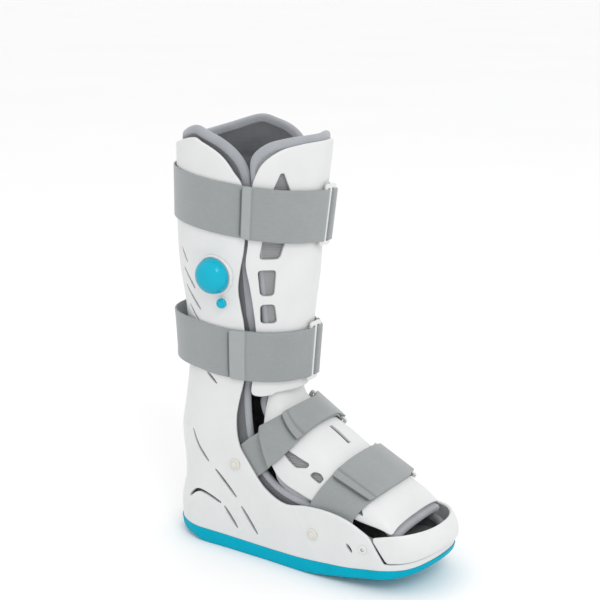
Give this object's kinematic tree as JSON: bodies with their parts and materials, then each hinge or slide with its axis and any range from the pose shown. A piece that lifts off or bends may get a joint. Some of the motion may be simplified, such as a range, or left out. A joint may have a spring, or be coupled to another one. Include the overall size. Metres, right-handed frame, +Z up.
{
  "type": "medical walking boot",
  "caption": "Tall medical walking boot: white moulded shell, shin panel and foot cover, grey straps and lining, blue rocker sole and an air pump on the outer side.",
  "frame": {"origin": "on the ground under the middle of the shaft, on the sole's flat underside", "axes": "+Z up along the shaft, -Y towards the toes, -X towards the outer side of a right foot"},
  "size_m": [0.1499, 0.3041, 0.4238],
  "materials": {
    "shell": "fine satin",
    "sole_rubber": "satin",
    "bulb_rubber": "smooth",
    "webbing": "brushed loop pile",
    "padding": "knitted cover over foam",
    "ring_plastic": "smooth",
    "rivet_plastic": "smooth",
    "screw_metal": "zinc plated"
  },
  "bodies": {
    "root": {"base_shell": "shell", "shin_panel": "shell", "foot_cover": "shell", "toe_guard": "shell", "pump_seat": "shell", "valve_seat": "shell", "outsole": "sole_rubber", "pump_bulb": "bulb_rubber", "valve_knob": "bulb_rubber", "upper_calf_strap": "webbing", "lower_calf_strap": "webbing", "instep_strap": "webbing", "instep_tab": "webbing", "forefoot_strap": "webbing", "forefoot_tab": "webbing", "boot_liner": "padding", "shin_pad": "padding", "foot_pad": "padding", "upper_calf_ring": "ring_plastic", "lower_calf_ring": "ring_plastic", "instep_ring": "ring_plastic", "forefoot_ring": "ring_plastic", "ankle_rivet_outer": "rivet_plastic", "ankle_rivet_inner": "rivet_plastic", "foot_rivet_outer": "rivet_plastic", "foot_rivet_inner": "rivet_plastic", "guard_screw_outer": "screw_metal", "guard_screw_inner": "screw_metal"}
  },
  "joints": []
}
